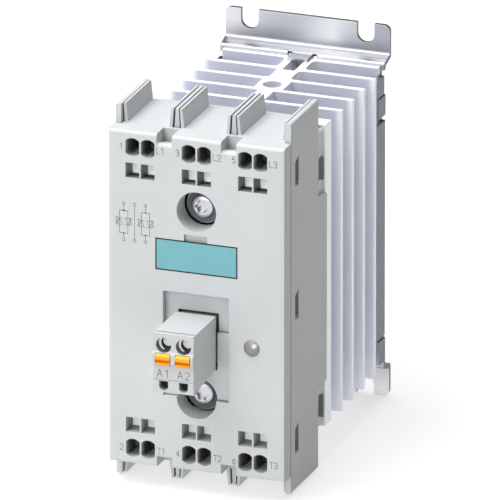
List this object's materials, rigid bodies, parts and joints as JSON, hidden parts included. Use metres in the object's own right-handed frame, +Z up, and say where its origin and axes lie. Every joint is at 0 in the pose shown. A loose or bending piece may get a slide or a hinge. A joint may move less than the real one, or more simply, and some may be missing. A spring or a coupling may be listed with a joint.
{
  "type": "solid state relay",
  "caption": "Solid state relay in a flat grey housing with spring terminals, plug-in control terminal, finned heat sink and screw or rail mounting plate.",
  "frame": {"origin": "centre of the rear mounting plane, at mid height", "axes": "+X right seen from the front, +Y out of the back into the panel, +Z up; the front face looks along -Y"},
  "size_m": [0.045, 0.0959, 0.096],
  "materials": {
    "board_green": "solder resist",
    "button_orange": "satin",
    "capacitor_yellow": "matt",
    "ceramic_white": "ceramic",
    "chip_black": "matt",
    "collar_dark": "matt",
    "contact_brass": "bright",
    "housing_grey": "fine moulded, light grey",
    "label_turquoise": "satin",
    "latch_black": "matt",
    "lever_white": "fine moulded",
    "light_grey_lens": "smooth, slightly translucent",
    "pad_grey": "soft",
    "plate_steel": "bright rolled sheet",
    "plug_grey": "fine moulded, light grey",
    "sink_aluminium": "extruded, light anodised",
    "socket_green": "matt",
    "spring_steel": "polished strip",
    "tinned_copper": "tinned, dull",
    "varistor_blue": "lacquered",
    "zinc_steel": "bright zinc plate"
  },
  "bodies": {
    "relay": {"base_housing": "housing_grey", "board_resistors": "chip_black", "bypass_bar": "tinned_copper", "clamp_springs_1_bottom": "spring_steel", "clamp_springs_1_top": "spring_steel", "clamp_springs_2_bottom": "spring_steel", "clamp_springs_2_top": "spring_steel", "clamp_springs_3_bottom": "spring_steel", "clamp_springs_3_top": "spring_steel", "control_board": "board_green", "control_pins": "contact_brass", "control_socket": "socket_green", "current_bar_1_bottom": "tinned_copper", "current_bar_1_top": "tinned_copper", "current_bar_3_bottom": "tinned_copper", "current_bar_3_top": "tinned_copper", "front_cover": "housing_grey", "gate_pins": "contact_brass", "heat_sink": "sink_aluminium", "housing_screws": "zinc_steel", "label_plate": "label_turquoise", "latch_guide": "plate_steel", "latch_spring": "spring_steel", "mounting_plate": "plate_steel", "optocouplers": "chip_black", "plate_screws": "zinc_steel", "power_substrate": "ceramic_white", "release_levers_bottom": "lever_white", "release_levers_top": "lever_white", "screw_collars": "collar_dark", "snubber_capacitors": "capacitor_yellow", "status_led": "light_grey_lens", "status_light_pipe": "light_grey_lens", "terminal_panel": "housing_grey", "thermal_pad": "pad_grey", "thyristor_chips": "chip_black", "varistors": "varistor_blue"},
    "control_plug": {"control_plug_body": "plug_grey", "wire_clamp_a1": "spring_steel", "wire_clamp_a2": "spring_steel", "plug_contact_a1": "contact_brass", "plug_contact_a2": "contact_brass"},
    "button_a1": {"release_button_a1": "button_orange"},
    "button_a2": {"release_button_a2": "button_orange"},
    "rail_latch": {"rail_latch": "latch_black"}
  },
  "joints": [
    {"name": "plug_pull", "type": "slide", "parent": "relay", "child": "control_plug", "axis": [0, -1, 0], "range_m": [0, 0.01]},
    {"name": "button_a1_press", "type": "slide", "parent": "control_plug", "child": "button_a1", "axis": [0, 1, 0], "range_m": [0, 0.0009], "stiffness_N_per_m": 200, "springref_m": -0.002},
    {"name": "button_a2_press", "type": "slide", "parent": "control_plug", "child": "button_a2", "axis": [0, 1, 0], "range_m": [0, 0.0009], "stiffness_N_per_m": 200, "springref_m": -0.002},
    {"name": "latch_pull", "type": "slide", "parent": "relay", "child": "rail_latch", "axis": [0, 0, -1], "range_m": [0, 0.003], "stiffness_N_per_m": 300, "springref_m": -0.003, "deforming": ["latch_spring"]}
  ]
}
